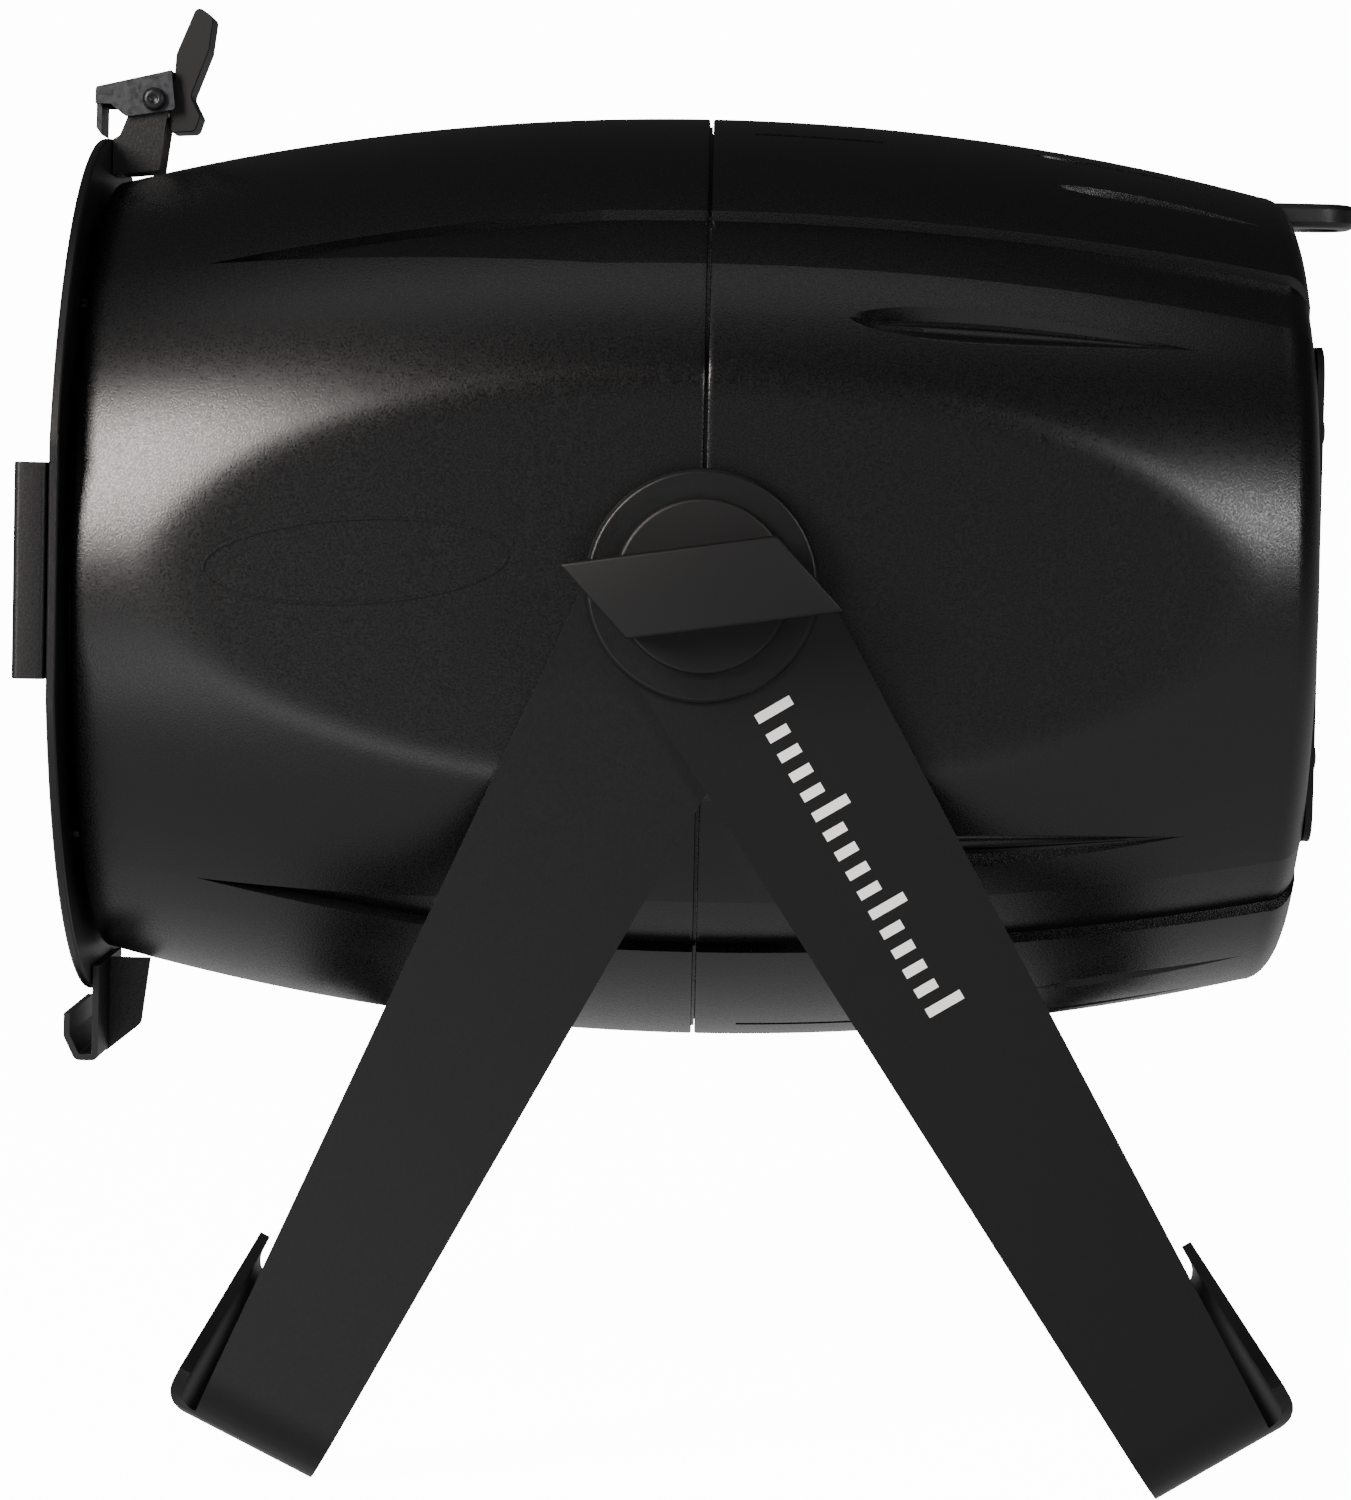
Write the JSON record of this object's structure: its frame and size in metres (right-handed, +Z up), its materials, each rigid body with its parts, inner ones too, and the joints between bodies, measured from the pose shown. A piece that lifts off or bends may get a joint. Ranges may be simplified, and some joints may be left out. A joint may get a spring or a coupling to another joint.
{
  "type": "par can light",
  "caption": "Barrel-shaped stage lamp on a double yoke, with a filter frame holder and latch at the front and a rear control panel.",
  "frame": {"origin": "centre of the bounding box on the floor under the two yoke feet", "axes": "+Z up, +X along the barrel from the lens to the rear panel, Y along the line that both yokes turn on"},
  "size_m": [0.3314, 0.2752, 0.3625],
  "materials": {
    "barrel_coat": "black fine-texture powder coat on die-cast aluminium",
    "frame_coat": "black powder coat on sheet steel",
    "yoke_coat": "satin black powder coat on bent steel strip",
    "black_plastic": "moulded black nylon, fine spark texture",
    "bare_steel": "zinc-plated steel",
    "screw_black": "blackened steel screw",
    "aluminium": "milled aluminium",
    "reflector": "polished aluminium",
    "board": "green printed circuit board",
    "glass": "clear tempered glass and acrylic lens",
    "display": "dark display window",
    "button_grey": "grey silicone key",
    "socket_grey": "grey glass-filled nylon",
    "socket_blue": "blue glass-filled nylon"
  },
  "bodies": {
    "head": {"front_shell": "barrel_coat", "rear_shell": "barrel_coat", "front_frame": "frame_coat", "front_window": "glass", "window_ring": "bare_steel", "side_holder_near": "frame_coat", "side_holder_far": "frame_coat", "bottom_holder": "frame_coat", "latch_base": "frame_coat", "latch_screw": "screw_black", "latch_spring": "bare_steel", "chassis_plate": "aluminium", "led_board": "board", "light_tunnel": "reflector", "heatsink": "aluminium", "fan_frame": "black_plastic", "guide_rod_1": "bare_steel", "guide_rod_2": "bare_steel", "zoom_motor": "black_plastic", "supply_case": "aluminium", "driver_board": "board", "control_board": "board", "rear_cover": "black_plastic", "display_window": "display", "data_in": "socket_grey", "data_out": "socket_grey", "power_in": "socket_blue", "power_out": "socket_grey", "fuse_holder": "black_plastic", "safety_eye": "frame_coat", "cover_screw_1": "screw_black", "cover_screw_2": "screw_black", "cover_screw_3": "screw_black", "cover_screw_4": "screw_black", "frame_screw_1": "screw_black", "frame_screw_2": "screw_black", "frame_screw_3": "screw_black", "frame_screw_4": "screw_black", "pivot_stud_near": "bare_steel", "pivot_stud_far": "bare_steel", "friction_disc_near": "yoke_coat", "friction_disc_far": "yoke_coat"},
    "inner_yoke": {"inner_yoke": "yoke_coat"},
    "outer_yoke": {"outer_yoke": "yoke_coat"},
    "knob_near": {"knob_near": "black_plastic"},
    "knob_far": {"knob_far": "black_plastic"},
    "latch": {"latch_clip": "bare_steel", "latch_lever": "black_plastic"},
    "zoom_carriage": {"lens_carrier": "black_plastic", "zoom_lens": "glass"},
    "lead_screw": {"lead_screw": "bare_steel"},
    "fan": {"fan_rotor": "black_plastic"},
    "button_1": {"menu_button_1": "button_grey"},
    "button_2": {"menu_button_2": "button_grey"},
    "button_3": {"menu_button_3": "button_grey"},
    "button_4": {"menu_button_4": "button_grey"}
  },
  "joints": [
    {"name": "inner_yoke_tilt", "type": "hinge", "parent": "head", "child": "inner_yoke", "pos_m": [-0.0007, 0, 0.2189], "axis": [0, 1, 0], "range_deg": [-26.3, 123.7]},
    {"name": "outer_yoke_tilt", "type": "hinge", "parent": "head", "child": "outer_yoke", "pos_m": [-0.0007, 0, 0.2189], "axis": [0, 1, 0], "range_deg": [-118.6, 31.3]},
    {"name": "knob_near_turn", "type": "hinge", "parent": "head", "child": "knob_near", "pos_m": [-0.0007, -0.125, 0.2189], "axis": [0, -1, 0], "range_deg": [0, 360]},
    {"name": "knob_far_turn", "type": "hinge", "parent": "head", "child": "knob_far", "pos_m": [-0.0007, 0.125, 0.2189], "axis": [0, 1, 0], "range_deg": [0, 360]},
    {"name": "latch_lift", "type": "hinge", "parent": "head", "child": "latch", "pos_m": [-0.1439, 0, 0.3387], "axis": [0, 1, 0], "range_deg": [0, 35], "stiffness_Nm_per_rad": 0.3, "springref_deg": -17.19},
    {"name": "zoom_travel", "type": "slide", "parent": "head", "child": "zoom_carriage", "axis": [1, 0, 0], "range_m": [-0.034, 0.034]},
    {"name": "screw_turn", "type": "hinge", "parent": "head", "child": "lead_screw", "pos_m": [-0.0607, 0, 0.1309], "axis": [1, 0, 0], "range_deg": [-1230, 1230]},
    {"name": "fan_spin", "type": "hinge", "parent": "head", "child": "fan", "pos_m": [0.0793, 0, 0.2189], "axis": [1, 0, 0], "continuous": true},
    {"name": "button_1_press", "type": "slide", "parent": "head", "child": "button_1", "axis": [-1, 0, 0], "range_m": [0, 0.001], "stiffness_N_per_m": 500, "springref_m": -0.001},
    {"name": "button_2_press", "type": "slide", "parent": "head", "child": "button_2", "axis": [-1, 0, 0], "range_m": [0, 0.001], "stiffness_N_per_m": 500, "springref_m": -0.001},
    {"name": "button_3_press", "type": "slide", "parent": "head", "child": "button_3", "axis": [-1, 0, 0], "range_m": [0, 0.001], "stiffness_N_per_m": 500, "springref_m": -0.001},
    {"name": "button_4_press", "type": "slide", "parent": "head", "child": "button_4", "axis": [-1, 0, 0], "range_m": [0, 0.001], "stiffness_N_per_m": 500, "springref_m": -0.001}
  ],
  "couplings": [
    {"joint": "screw_turn", "follows": "zoom_travel", "rad_per_m": 628.32}
  ]
}
